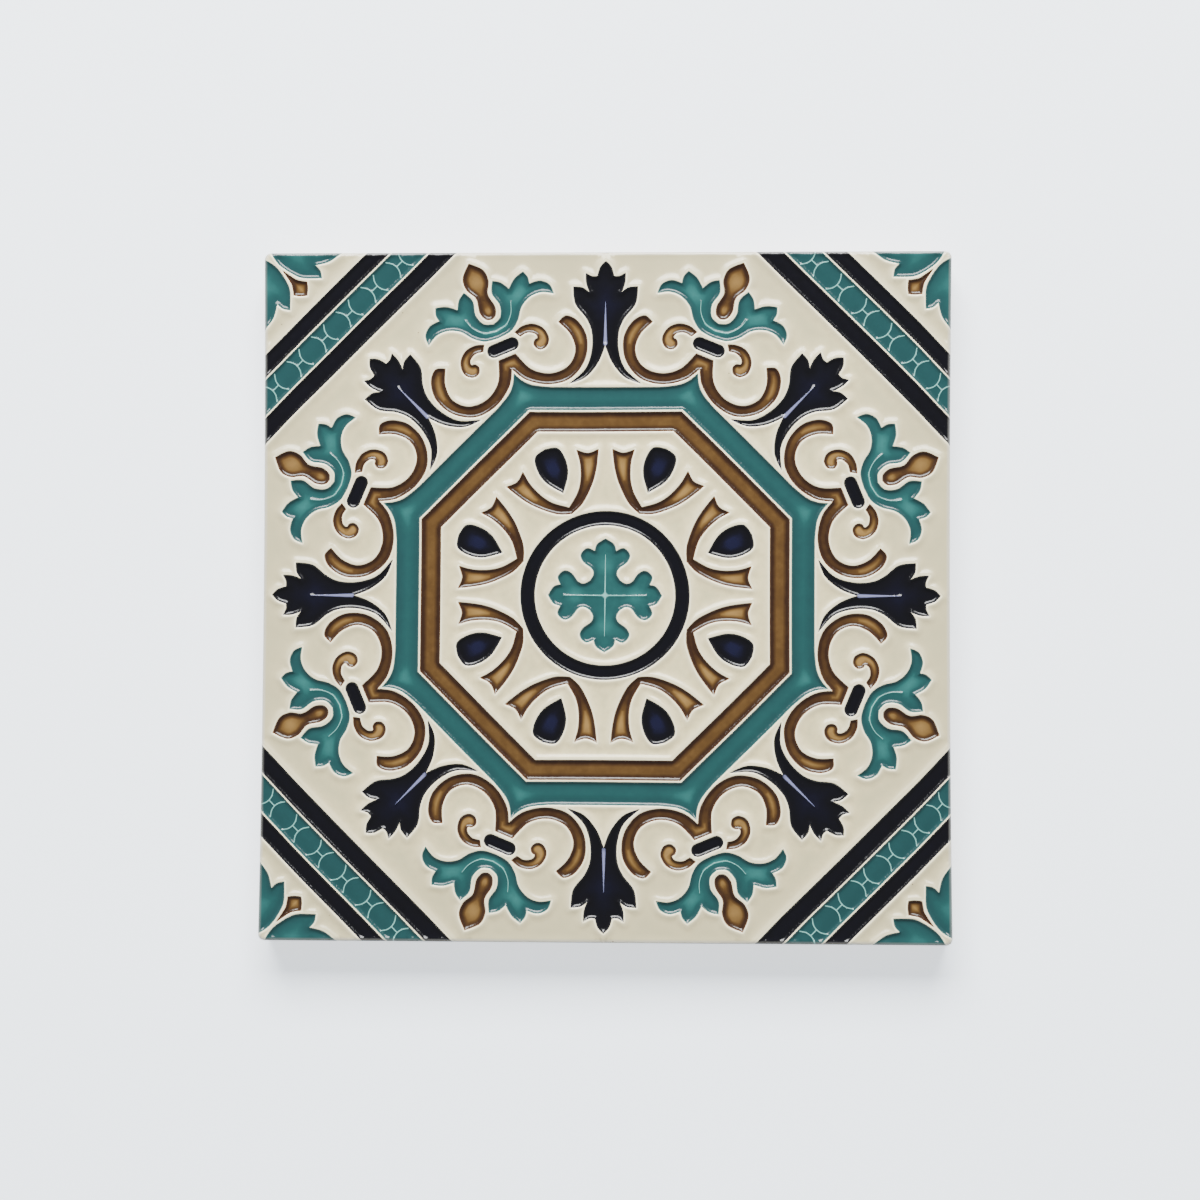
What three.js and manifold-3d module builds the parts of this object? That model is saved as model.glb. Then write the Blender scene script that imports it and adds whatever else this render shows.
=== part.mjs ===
// A relief azulejo: one pressed, glazed and fired wall tile, lying on its back with its face up.
// Millimetres, +Z up. The origin is the middle of the back, +Y is the top of the tile as it hangs.
import * as THREE from "three";
import { mergeVertices } from "three/addons/utils/BufferGeometryUtils.js";
import Module from "manifold-3d";

// The slab
const tileWidth = 150;
const tileHeight = 150;
const tileThickness = 12;
const cornerRadius = 1.4;
const sideBow = 0.5;
const faceArris = 1.0;
const backArris = 0.5;

// The relief: colour wells pressed into the face, with ridges left between them
const wellDepth = 0.6;
const ridge = 0.5;
const petals = 8;
const quarters = 4;

// The ring and the quatrefoil in the middle
const ringInner = 15.25;
const ringOuter = 18.3;
const ringSides = 48;

// The octagon's two bands, as distances from the middle to their flats
const innerBandInner = 35.8;
const innerBandOuter = 40.0;
const outerBandOuter = 45.4;
const peakFoot = 6.3;

// The bands across each corner, as distances from the corner along the diagonal
const cornerBandStart = 16.2;
const navyBand = 3.4;
const tealBand = 5.4;
const lastNavyBand = 3.9;

// The small bar that ties each scroll
const barLength = 7.2;
const barWidth = 2.8;
const barRadius = 58.5;

// Motifs stand on the petals' axes, or half a petal on, between them
const onAxes = 0;
const betweenAxes = 0.5;

// Turns in degrees: the first corner's diagonal runs inwards at 135 degrees from +Y
const fullTurn = 360;
const quarterTurn = 90;
const firstCornerTurn = 135;

// How finely curves are cut into flats, and how far a cutter runs past the face or the side
const curveSteps = 1;
const cornerSteps = 4;
const arrisSteps = 3;
const overrun = 4;

// Motif outlines: runs of [sideways, outward] points. Each run is one smooth stretch, and runs meet
// at a sharp tip or notch. Only the right half is listed, from the axis or round the motif that
// stands beside it, and the left half mirrors it.
const palmetteRuns = [
  [[0, 72.9], [1.2, 71.6], [1.8, 69.6]],
  [[1.8, 69.6], [3.0, 69.6], [4.3, 70.3]],
  [[4.3, 70.3], [4.2, 68.2], [3.5, 66.1]],
  [[3.5, 66.1], [5.0, 67.1], [7.0, 67.3]],
  [[7.0, 67.3], [6.5, 63.6], [4.1, 60.4], [2.9, 57.4], [2.9, 53.4], [4.3, 49.4], [7.8, 46.2]],
  [[7.8, 46.2], [4.2, 47.7], [1.5, 50.9], [0, 54.6]],
];
const budRuns = [
  [[0, 78.4], [2.4, 75.9], [2.6, 73.2], [1.35, 70.6], [1.8, 67.6], [1.2, 65.7], [0, 65.1]],
];
const leafRuns = [
  [[0, 60.8], [3.0, 61.2], [5.3, 62.8], [7.2, 65.2], [9.7, 66.5], [12.4, 66.5], [14.8, 65.2]],
  [[14.8, 65.2], [14.7, 67.3], [13.1, 68.9], [10.7, 69.2]],
  [[10.7, 69.2], [10.9, 70.7], [10.4, 72.2]],
  [[10.4, 72.2], [8.1, 71.5], [6.1, 69.9]],
  [[6.1, 69.9], [5.0, 71.8], [3.4, 72.9]],
  [[3.4, 72.9], [2.3, 70.4], [2.9, 67.4], [2.0, 64.9], [0, 64.0]],
];
const scrollRuns = [
  [[0, 56.2], [2.0, 56.2]],
  [[2.0, 56.2], [3.9, 51.8], [7.5, 49.3], [11.7, 49.3], [14.5, 51.9], [14.8, 55.6], [13.4, 59.0]],
  [[13.4, 59.0], [15.5, 59.6], [17.4, 57.4], [17.8, 53.4], [15.6, 49.2], [11.2, 46.7], [6.2, 47.3],
    [2.0, 50.1], [0, 53.4]],
];
const hookRuns = [
  [[3.6, 60.6], [5.6, 61.2], [8.0, 60.8], [9.8, 59.0], [10.1, 56.5], [8.8, 55.0], [7.2, 55.1], [6.5, 56.4],
    [7.1, 57.4], [7.9, 57.6], [7.6, 58.7], [6.1, 59.5], [4.4, 59.3]],
];
const dropRuns = [
  [[0, 34.5], [2.6, 33.7], [3.25, 30.8], [2.5, 27.6], [0, 24.2]],
];
const forkRuns = [
  [[0, 19.2], [3.1, 20.5], [6.6, 23.6], [8.8, 26.5], [10.8, 30.1]],
  [[10.8, 30.1], [8.3, 30.2], [6.3, 31.8]],
  [[6.3, 31.8], [5.9, 28.8], [4.7, 25.6], [2.9, 23.0], [0, 20.7]],
];
const peakRun = [[0, 52.3], [1.1, 50.2], [2.9, 48.4]];
const quatrefoilRuns = [
  [[0, 12.3], [1.8, 11.1], [2.3, 9.6]],
  [[2.3, 9.6], [4.0, 10.2], [5.3, 8.8], [4.7, 7.2], [2.9, 5.8], [2.5, 4.5], [3.2, 3.2]],
];

// Corner motifs, as [sideways, distance from the corner along its diagonal] points
const cornerLeafRuns = [
  [[0.7, -1.0], [0.5, 5.1], [1.2, 8.2], [2.2, 10.2], [5.0, 13.0]],
  [[5.0, 13.0], [5.9, 11.6], [6.0, 10.0]],
  [[6.0, 10.0], [8.8, 11.6], [12.2, 12.0]],
];
const cornerBudRuns = [
  [[0, 5.6], [0.6, 8.8], [1.1, 9.9], [2.1, 11.3]],
  [[2.1, 11.3], [1.1, 12.5], [0, 13.4]],
];

const wasm = await Module();
wasm.setup();

// Solids in and out of the boolean library
function toSolid(geometry) {
  const bare = geometry.clone();
  bare.deleteAttribute("normal");
  bare.deleteAttribute("uv");
  const merged = mergeVertices(bare);
  return new wasm.Manifold(new wasm.Mesh({
    numProp: 3,
    vertProperties: new Float32Array(merged.attributes.position.array),
    triVerts: new Uint32Array(merged.index.array),
  }));
}

function toGeometry(solid) {
  const mesh = solid.getMesh();
  const geometry = new THREE.BufferGeometry();
  geometry.setAttribute("position", new THREE.BufferAttribute(mesh.vertProperties, 3));
  geometry.setIndex(new THREE.BufferAttribute(mesh.triVerts, 1));
  geometry.computeVertexNormals();
  return geometry;
}

// The slab's outline: square, with its left and right sides bowed in a little and round corners
function slabOutline() {
  const x = tileWidth / 2;
  const y = tileHeight / 2;
  const r = cornerRadius;
  const shape = new THREE.Shape();
  shape.moveTo(-x + r, -y);
  shape.lineTo(x - r, -y);
  shape.absarc(x - r, -y + r, r, -Math.PI / 2, 0);
  shape.quadraticCurveTo(x - 2 * sideBow, 0, x, y - r);
  shape.absarc(x - r, y - r, r, 0, Math.PI / 2);
  shape.lineTo(-x + r, y);
  shape.absarc(-x + r, y - r, r, Math.PI / 2, Math.PI);
  shape.quadraticCurveTo(-x + 2 * sideBow, 0, -x, -y + r);
  shape.absarc(-x + r, -y + r, r, Math.PI, 1.5 * Math.PI);
  return shape;
}

// One slab with the same rounded arris on both of its faces, from bottom to top
function roundedSlab(bottom, top, arris) {
  const geometry = new THREE.ExtrudeGeometry(slabOutline(), {
    depth: top - bottom - 2 * arris,
    curveSegments: cornerSteps,
    bevelThickness: arris,
    bevelSize: arris,
    bevelOffset: -arris,
    bevelSegments: arrisSteps,
  });
  return toSolid(geometry.translate(0, 0, bottom + arris));
}

// A cutter for one well: the outline's prism, from the well's floor to clear of the face
function wellCutter(shape, steps = curveSteps) {
  const geometry = new THREE.ExtrudeGeometry(shape, {
    depth: wellDepth + overrun,
    curveSegments: steps,
    bevelEnabled: false,
  });
  return toSolid(geometry.translate(0, 0, tileThickness - wellDepth));
}

function drawRuns(shape, runs) {
  shape.moveTo(...runs[0][0]);
  for (const run of runs) {
    shape.splineThru(run.slice(1).map(([x, y]) => new THREE.Vector2(x, y)));
  }
  return shape;
}

const mirrored = (runs) => runs.map((run) => run.map(([x, y]) => [-x, y]));
const reversed = (runs) => runs.map((run) => [...run].reverse()).reverse();
const turned = (runs, angle) => runs.map((run) => run.map(([x, y]) => [
  x * Math.cos(angle) - y * Math.sin(angle),
  x * Math.sin(angle) + y * Math.cos(angle),
]));

// A motif that is symmetric about its own axis, from its right half, axis point to axis point
function symmetricMotif(halfRuns) {
  return drawRuns(new THREE.Shape(), [...halfRuns, ...reversed(mirrored(halfRuns))]);
}

// A motif that goes right round the tile's middle, from the right half of one of its sectors
function roundMotif(halfRuns, count, start) {
  const sector = [...reversed(mirrored(halfRuns)), ...halfRuns];
  const allRuns = [];
  for (let i = 0; i < count; i += 1) {
    allRuns.push(...turned(sector, (-2 * Math.PI * (i + start)) / count));
  }
  const lastRun = allRuns[allRuns.length - 1];
  lastRun[lastRun.length - 1] = allRuns[0][0];
  return drawRuns(new THREE.Shape(), allRuns);
}

// A motif that stands beside its axis, and its mirror image
function motifPair(runs) {
  return [drawRuns(new THREE.Shape(), runs), drawRuns(new THREE.Shape(), reversed(mirrored(runs)))];
}

// The same cutters turned round the tile's middle, count times, the first one start turns on
function around(cutters, count, start) {
  const copies = [];
  for (let i = 0; i < count; i += 1) {
    const angle = (fullTurn * (i + start)) / count;
    copies.push(...cutters.map((cutter) => cutter.rotate([0, 0, angle])));
  }
  return copies;
}

// Eight-fold motifs: those on the main and diagonal axes, and those half-way between them
function petalWells() {
  const reach = (barLength - barWidth) / 2;
  const bar = new THREE.Shape();
  bar.absarc(reach, barRadius, barWidth / 2, -Math.PI / 2, Math.PI / 2);
  bar.absarc(-reach, barRadius, barWidth / 2, Math.PI / 2, 1.5 * Math.PI);
  const onAxis = [wellCutter(symmetricMotif(palmetteRuns))];
  const symmetricRuns = [budRuns, leafRuns, scrollRuns, dropRuns, forkRuns];
  const between = symmetricRuns.map((runs) => wellCutter(symmetricMotif(runs)));
  between.push(...motifPair(hookRuns).map((shape) => wellCutter(shape)), wellCutter(bar, cornerSteps));
  return [...around(onAxis, petals, onAxes), ...around(between, petals, betweenAxes)];
}

// A plain octagon, with its corners half-way between the petals' axes
function octagonPath(path, flat) {
  const radius = flat / Math.cos(Math.PI / petals);
  for (let i = 0; i < petals; i += 1) {
    const angle = (2 * Math.PI * (i + betweenAxes)) / petals;
    path[i === 0 ? "moveTo" : "lineTo"](radius * Math.cos(angle), radius * Math.sin(angle));
  }
  path.closePath();
  return path;
}

// The inner band is plain, and the outer one draws out to a peak between each pair of scrolls
function octagonWells() {
  const innerBand = octagonPath(new THREE.Shape(), innerBandOuter);
  innerBand.holes.push(octagonPath(new THREE.Path(), innerBandInner));
  const halfSector = Math.PI / petals;
  const foot = [peakFoot, (outerBandOuter - peakFoot * Math.sin(halfSector)) / Math.cos(halfSector)];
  const flatMiddle = [outerBandOuter * Math.sin(halfSector), outerBandOuter * Math.cos(halfSector)];
  const peakRuns = [[...peakRun, foot], [foot, flatMiddle]];
  const outerBand = roundMotif(peakRuns, petals, betweenAxes);
  outerBand.holes.push(octagonPath(new THREE.Path(), innerBandOuter + ridge));
  return [wellCutter(innerBand), wellCutter(outerBand)];
}

// The middle: a ring, and a quatrefoil inside it
function middleWells() {
  const ring = new THREE.Shape();
  ring.absarc(0, 0, ringOuter, 0, 2 * Math.PI);
  const bore = new THREE.Path();
  bore.absarc(0, 0, ringInner, 0, 2 * Math.PI);
  ring.holes.push(bore);
  return [wellCutter(ring, ringSides), wellCutter(roundMotif(quatrefoilRuns, quarters, onAxes))];
}

// Corner motifs: three bands that run out over the tile's sides, two leaves and a bud
function bandShape(start, width) {
  const end = start + width;
  const shape = new THREE.Shape();
  shape.moveTo(-start - overrun, start);
  shape.lineTo(-end - overrun, end);
  shape.lineTo(end + overrun, end);
  shape.lineTo(start + overrun, start);
  return shape;
}

function cornerWells() {
  const tealStart = cornerBandStart + navyBand + ridge;
  const lastStart = tealStart + tealBand + ridge;
  const shapes = [
    bandShape(cornerBandStart, navyBand),
    bandShape(tealStart, tealBand),
    bandShape(lastStart, lastNavyBand),
    symmetricMotif(cornerBudRuns),
    ...motifPair(cornerLeafRuns),
  ];
  const wells = [];
  for (let i = 0; i < quarters; i += 1) {
    const xSide = i === 0 || i === 3 ? 1 : -1;
    const ySide = i < 2 ? 1 : -1;
    const angle = firstCornerTurn + quarterTurn * i;
    const corner = [(xSide * tileWidth) / 2, (ySide * tileHeight) / 2, 0];
    wells.push(...shapes.map((shape) => wellCutter(shape).rotate([0, 0, angle]).translate(corner)));
  }
  return wells;
}

function makeTile() {
  const faced = roundedSlab(-overrun, tileThickness, faceArris);
  const backed = roundedSlab(0, tileThickness + overrun, backArris);
  let tile = faced.intersect(backed);
  for (const well of [...petalWells(), ...octagonWells(), ...middleWells(), ...cornerWells()]) {
    tile = tile.subtract(well);
  }
  const glaze = new THREE.MeshStandardMaterial({ color: 0xd6d2c4, roughness: 0.15, metalness: 0 });
  const mesh = new THREE.Mesh(toGeometry(tile), glaze);
  mesh.name = "tile";
  return mesh;
}

const azulejo = new THREE.Group();
azulejo.add(makeTile());

export default azulejo;
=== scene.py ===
import math
import bpy
import numpy as np
from mathutils import Matrix, Vector
from mathutils.geometry import delaunay_2d_cdt


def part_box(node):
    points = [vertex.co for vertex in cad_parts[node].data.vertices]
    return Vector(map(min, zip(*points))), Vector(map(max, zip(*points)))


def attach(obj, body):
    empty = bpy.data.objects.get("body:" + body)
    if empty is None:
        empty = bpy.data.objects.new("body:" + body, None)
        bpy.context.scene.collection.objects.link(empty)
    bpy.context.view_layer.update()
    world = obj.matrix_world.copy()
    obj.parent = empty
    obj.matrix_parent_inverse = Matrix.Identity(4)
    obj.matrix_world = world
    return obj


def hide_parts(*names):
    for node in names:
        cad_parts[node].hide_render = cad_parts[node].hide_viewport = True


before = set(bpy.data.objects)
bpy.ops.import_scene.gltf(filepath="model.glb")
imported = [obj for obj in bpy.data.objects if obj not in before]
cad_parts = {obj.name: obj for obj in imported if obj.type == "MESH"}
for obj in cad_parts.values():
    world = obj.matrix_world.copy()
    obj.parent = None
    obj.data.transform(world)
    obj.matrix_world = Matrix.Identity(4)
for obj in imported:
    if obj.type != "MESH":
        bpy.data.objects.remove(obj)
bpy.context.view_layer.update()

# Palmettes
# Eight fan-shaped leaves in navy glaze, on the upright, level and slanting axes of the face. A carved
# mould pressed each into the clay as a shallow well, with a fine ridge round it to hold the glaze.
mm = 0.001
low, high = (np.array(corner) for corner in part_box("tile"))
half_side = (high[0] - low[0]) / 2
face_top = high[2]

# Only one eighth of the face is worked out, the slice from its top middle clockwise to the corner,
# because the rest repeats it. Each motif there stands on an axis from the tile's middle.
top_axis = math.radians(90)
petal_axis = math.radians(67.5)
corner_axis = math.radians(45)

# An outline is drawn in runs, each a smooth stretch between two sharp corners. The points are
# [sideways, outward from the tile's middle] in millimetres, and give the right half of the motif.
outline_step = 0.35 * mm
spline_cuts = 16
palmette_runs = [
    [(0, 72.9), (1.2, 71.6), (1.8, 69.6)],
    [(1.8, 69.6), (3.0, 69.6), (4.3, 70.3)],
    [(4.3, 70.3), (4.2, 68.2), (3.5, 66.1)],
    [(3.5, 66.1), (5.0, 67.1), (7.0, 67.3)],
    [(7.0, 67.3), (6.5, 63.6), (4.1, 60.4), (2.9, 57.4), (2.9, 53.4), (4.3, 49.4), (7.8, 46.2)],
    [(7.8, 46.2), (4.2, 47.7), (1.5, 50.9), (0, 54.6)],
]


def even_steps(path, step):
    """The same path with its points an even step apart, its two ends kept."""
    walked = np.r_[0, np.cumsum(np.linalg.norm(np.diff(path, axis=0), axis=1))]
    count = max(1, round(walked[-1] / step))
    stops = np.linspace(0, walked[-1], count + 1)
    return np.stack([np.interp(stops, walked, path[:, axis]) for axis in (0, 1)], axis=1)


def smooth_run(points):
    """One smooth stretch through its points, which are in millimetres."""
    knots = np.array(points, dtype=float) * mm
    padded = np.vstack([knots[:1], knots, knots[-1:]])
    t = np.linspace(0, 1, spline_cuts, endpoint=False)[:, None]
    pieces = []
    for before, start, end, after in zip(padded, padded[1:], padded[2:], padded[3:]):
        bend = 2 * before - 5 * start + 4 * end - after
        twist = 3 * (start - end) + after - before
        pieces.append((2 * start + (end - before) * t + bend * t**2 + twist * t**3) / 2)
    return even_steps(np.vstack([*pieces, knots[-1:]]), outline_step)


def follow(runs):
    """The runs joined end to end."""
    stretches = [smooth_run(run) for run in runs]
    return np.vstack([stretch[:-1] for stretch in stretches] + [stretches[-1][-1:]])


def mirrored(path):
    return path * (-1, 1)


def symmetric(half):
    """A closed outline from its right half, which starts and ends on the axis."""
    return np.vstack([half[:-1], mirrored(half)[::-1][:-1]])


def turned(path, angle):
    """The path turned clockwise round the tile's middle."""
    cos, sin = math.cos(angle), math.sin(angle)
    return path @ np.array([(cos, -sin), (sin, cos)])


def on_axis(path, axis):
    """From a motif's own [sideways, outward] places to the tile's face."""
    return turned(path, top_axis - axis)


def drawn(runs, axis):
    """A motif's closed outline on its axis, from the runs of its right half."""
    return on_axis(symmetric(follow(runs)), axis)


motifs = []


def motif(glaze, outlines, thin_spots=(), axis=top_axis, plain=0.35, thinnest=1.0, groove=(0.3, 9),
          creep=0.06):
    """Adds a well with its glaze. A second outline is an island in the well.

    The glaze pools at the walls and thins between the groove's two distances, to its plain share of
    thinness on the floor. It is thinnest on the thin spots, each [sideways, outward, reach] on the
    axis, and creeps a little way up the ridges. All lengths are in millimetres.
    """
    spots = []
    for side, out, spot_reach in thin_spots:
        x, y = on_axis(np.array([(side, out)]) * mm, axis)[0]
        spots.append((x, y, spot_reach * mm))
    motifs.append({"glaze": glaze, "outlines": outlines, "spots": spots, "plain": plain,
                   "thinnest": thinnest, "groove": [width * mm for width in groove], "creep": creep * mm})


for palmette_axis in (top_axis, corner_axis):
    motif("navy", [drawn(palmette_runs, palmette_axis)], [(0, 63.5, 4.5)], palmette_axis,
          plain=0.1, thinnest=0.5, groove=(0.6, 3.2))

# Buds and leaves
# Between the palmettes a honey brown bud stands in a teal leaf with curled lobes, eight times round
# the face. Both are pressed wells, parted by an ivory ridge.
bud_runs = [
    [(0, 78.4), (2.4, 75.9), (2.6, 73.2), (1.35, 70.6), (1.8, 67.6), (1.2, 65.7), (0, 65.1)],
]
leaf_runs = [
    [(0, 60.8), (3.0, 61.2), (5.3, 62.8), (7.2, 65.2), (9.7, 66.5), (12.4, 66.5), (14.8, 65.2)],
    [(14.8, 65.2), (14.7, 67.3), (13.1, 68.9), (10.7, 69.2)],
    [(10.7, 69.2), (10.9, 70.7), (10.4, 72.2)],
    [(10.4, 72.2), (8.1, 71.5), (6.1, 69.9)],
    [(6.1, 69.9), (5.0, 71.8), (3.4, 72.9)],
    [(3.4, 72.9), (2.3, 70.4), (2.9, 67.4), (2.0, 64.9), (0, 64.0)],
]

motif("honey", [drawn(bud_runs, petal_axis)], [(0, 74, 2.4), (0, 67.2, 0.9)], petal_axis,
      plain=0.28, thinnest=0.85, groove=(0.5, 1.7))
motif("teal", [drawn(leaf_runs, petal_axis)], [(-7.6, 67.8, 2.6), (7.6, 67.8, 2.6), (0, 61.4, 2.8)],
      petal_axis, plain=0.25, thinnest=0.88, groove=(0.3, 1.9))

# Scrolls, hooks and bars
# Under each leaf a pair of honey brown scrolls and two curled hooks meet at a short navy bar, as
# forged ironwork is held by its collar. Each is a narrow pressed well of its own.
scroll_runs = [
    [(0, 56.2), (2.0, 56.2)],
    [(2.0, 56.2), (3.9, 51.8), (7.5, 49.3), (11.7, 49.3), (14.5, 51.9), (14.8, 55.6), (13.4, 59.0)],
    [(13.4, 59.0), (15.5, 59.6), (17.4, 57.4), (17.8, 53.4), (15.6, 49.2), (11.2, 46.7), (6.2, 47.3),
     (2.0, 50.1), (0, 53.4)],
]
hook_runs = [
    [(3.6, 60.6), (5.6, 61.2), (8.0, 60.8), (9.8, 59.0), (10.1, 56.5), (8.8, 55.0), (7.2, 55.1),
     (6.5, 56.4), (7.1, 57.4), (7.9, 57.6), (7.6, 58.7), (6.1, 59.5), (4.4, 59.3)],
    [(4.4, 59.3), (3.6, 60.6)],
]
bar_length, bar_width, bar_radius = 7.2 * mm, 2.8 * mm, 58.5 * mm


def bar_outline():
    """A bar with round ends, across its axis."""
    reach = (bar_length - bar_width) / 2
    end_radius = bar_width / 2
    angle = np.linspace(math.pi / 2, -math.pi / 2, round(math.pi * end_radius / outline_step) + 1)
    end = np.stack([reach + end_radius * np.cos(angle), bar_radius + end_radius * np.sin(angle)], axis=1)
    top = even_steps(np.array([(0, bar_radius + end_radius), end[0]]), outline_step)
    return symmetric(np.vstack([top[:-1], end[:-1], top[::-1] * (1, -1) + (0, 2 * bar_radius)]))


motif("honey", [drawn(scroll_runs, petal_axis)], [(-16.4, 54.5, 4.2), (16.4, 54.5, 4.2), (0, 54.4, 1.8)],
      petal_axis, plain=0.22, thinnest=0.75, groove=(0.5, 9))
for side in (-1, 1):
    hook = follow(hook_runs)[:-1] * (side, 1)
    motif("honey", [on_axis(hook, petal_axis)], [(side * 9.0, 58, 2.0), (side * 7.6, 56.2, 1.4)],
          petal_axis)
motif("navy", [on_axis(bar_outline(), petal_axis)], plain=0.1)

# Drops and forks
# Inside the octagon eight navy drops stand in eight honey brown forks, points towards the middle.
# They are pressed wells too, parted by an ivory ridge.
drop_runs = [
    [(0, 34.5), (2.6, 33.7), (3.25, 30.8), (2.5, 27.6), (0, 24.2)],
]
fork_runs = [
    [(0, 19.2), (3.1, 20.5), (6.6, 23.6), (8.8, 26.5), (10.8, 30.1)],
    [(10.8, 30.1), (8.3, 30.2), (6.3, 31.8)],
    [(6.3, 31.8), (5.9, 28.8), (4.7, 25.6), (2.9, 23.0), (0, 20.7)],
]

motif("navy", [drawn(drop_runs, petal_axis)], [(0, 30, 2.6)], petal_axis, plain=0.1, groove=(1.1, 2.0))
motif("honey", [drawn(fork_runs, petal_axis)], [(-7.2, 27, 3.4), (7.2, 27, 3.4)], petal_axis,
      plain=0.12, groove=(0.45, 1.7))

# Octagon
# Two bands side by side round the drops and forks: a plain honey brown octagon, and a teal one that
# rises to a peak at each corner. A single ridge parts the two pressed bands.
petals = 8
ridge_width = 0.5 * mm
inner_band_inner, inner_band_outer = 35.8 * mm, 40.0 * mm
outer_band_outer = 45.4 * mm
peak_run = [(0, 52.3), (1.1, 50.2), (2.9, 48.4)]
peak_foot = 6.3 * mm
half_sector = math.pi / petals


def all_round(half):
    """An octagon round the tile's middle, from the right half of one of its corners."""
    corner = np.vstack([mirrored(half)[::-1][:-1], half[:-1]])
    return np.vstack([turned(corner, (2 * i + 1) * half_sector) for i in range(petals)])


def plain_octagon(flat):
    """An octagon by the distance of its sides from the middle."""
    corner = (0, flat / math.cos(half_sector))
    side_middle = (flat * math.sin(half_sector), flat * math.cos(half_sector))
    return all_round(even_steps(np.array([corner, side_middle]), outline_step))


def peaked_octagon():
    """The teal band's outer outline."""
    sin, cos = math.sin(half_sector), math.cos(half_sector)
    foot = (peak_foot, (outer_band_outer - peak_foot * sin) / cos)
    side_middle = (outer_band_outer * sin, outer_band_outer * cos)
    peak = smooth_run([*peak_run, (foot[0] / mm, foot[1] / mm)])
    flat = even_steps(np.array([foot, side_middle]), outline_step)
    return all_round(np.vstack([peak[:-1], flat]))


motif("honey", [plain_octagon(inner_band_outer), plain_octagon(inner_band_inner)],
      plain=0.37, groove=(0.75, 1.4))
motif("teal", [peaked_octagon(), plain_octagon(inner_band_outer + ridge_width)], [(0, 47.2, 2.4)],
      petal_axis, plain=0.27, thinnest=0.75)

# Ring and quatrefoil
# The middle of the face: a navy ring, and in it a teal quatrefoil with three small lobes on each
# arm. Both are pressed wells.
quarters = 4
ring_inner, ring_outer = 15.25 * mm, 18.3 * mm
quatrefoil_runs = [
    [(0, 12.3), (1.8, 11.1), (2.3, 9.6)],
    [(2.3, 9.6), (4.0, 10.2), (5.3, 8.8), (4.7, 7.2), (2.9, 5.8), (2.5, 4.5), (3.2, 3.2)],
]


def circle(radius):
    """A circle round the tile's middle with a point on every motif's axis."""
    count = petals * round(2 * math.pi * radius / outline_step / petals)
    angle = np.arange(count) * 2 * math.pi / count
    return radius * np.stack([np.sin(angle), np.cos(angle)], axis=1)


def quatrefoil():
    """Four arms, each from a run between its tip and the diagonal, and the run's mirror image."""
    to_diagonal = follow(quatrefoil_runs)
    from_diagonal = to_diagonal[:, ::-1][::-1]
    arm = np.vstack([to_diagonal[:-1], from_diagonal[:-1]])
    return np.vstack([turned(arm, i * math.pi / 2) for i in range(quarters)])


motif("navy", [circle(ring_outer), circle(ring_inner)], plain=0.1)
motif("teal", [quatrefoil()], [(0, 6.6, 1.6)], plain=0.35, thinnest=0.75, groove=(0.45, 1.2))

# Corners
# Each corner of the face has a teal band between two navy ones, straight across it, and behind them
# two teal half leaves with a honey brown bud, which the same corner of the next tiles completes.
corner_band_start = 16.2 * mm
navy_band, teal_band, last_navy_band = 3.4 * mm, 5.4 * mm, 3.9 * mm
corner_creep = 0.1
corner_leaf_runs = [
    [(1.1, 1.1), (0.55, 3.0), (0.5, 5.1), (1.2, 8.2), (2.2, 10.2), (5.0, 13.0)],
    [(5.0, 13.0), (5.9, 11.6), (6.0, 10.0)],
    [(6.0, 10.0), (8.8, 11.6), (12.1, 12.1)],
    [(12.1, 12.1), (1.1, 1.1)],
]
corner_bud_runs = [
    [(0, 5.6), (0.6, 8.8), (1.1, 9.9), (2.1, 11.3)],
    [(2.1, 11.3), (1.1, 12.5), (0, 13.4)],
]


def from_corner(path):
    """From [sideways, distance from the corner] places to the face, at its top right corner."""
    inward = np.array((-1, -1)) / math.sqrt(2)
    sideways = np.array((-1, 1)) / math.sqrt(2)
    return half_side + path[:, :1] * sideways + path[:, 1:] * inward


def corner_band(start, width):
    """A band across the corner, between two lines square to the diagonal."""
    far_side = start + width
    near = even_steps(np.array([(-start, start), (0, start)]), outline_step)
    far = even_steps(np.array([(-far_side, far_side), (0, far_side)]), outline_step)
    return from_corner(np.vstack([near[:-1], mirrored(near)[::-1], mirrored(far)[:-1], far[::-1]]))


teal_band_start = corner_band_start + navy_band + ridge_width
last_band_start = teal_band_start + teal_band + ridge_width
motif("navy", [corner_band(corner_band_start, navy_band)], plain=0.1, creep=corner_creep)
motif("teal", [corner_band(teal_band_start, teal_band)], plain=0, creep=corner_creep)
motif("navy", [corner_band(last_band_start, last_navy_band)], plain=0.1, creep=corner_creep)
motif("teal", [from_corner(follow(corner_leaf_runs)[:-1])], plain=0.65)
motif("honey", [from_corner(symmetric(follow(corner_bud_runs)))], [(0, 94.2, 1.8)], corner_axis)

# Raised lines
# Fine threads of clay that stand up inside some wells, where the mould has scratches: the leaves'
# veins, the palmettes' midribs, the quatrefoil's cross with its boss, and the teal band's chain.
vein_run = [(0, 62.4), (2.6, 63.0), (4.5, 64.9), (5.4, 67.2)]
vein_widths = (0.11, 0.05)
midrib, midrib_widths = [(0, 54.9), (0, 64.0)], (0.32, 0.035)
cross_arm, cross_widths = [(0, 0.3), (0, 8.8)], (0.13, 0.05)
boss, boss_widths = [(0, 0), (0, 0.1)], (0.4, 0.4)
link_arc_run = [(1.9, 2.3), (1.15, 1.2), (0.9, 0), (1.15, -1.2), (1.9, -2.3)]
link_bar = [(-0.9, 0), (0.9, 0)]
link_widths = (0.11, 0.11)
link_pitch = 7.7 * mm
links_each_side = 3
lines = []


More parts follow.
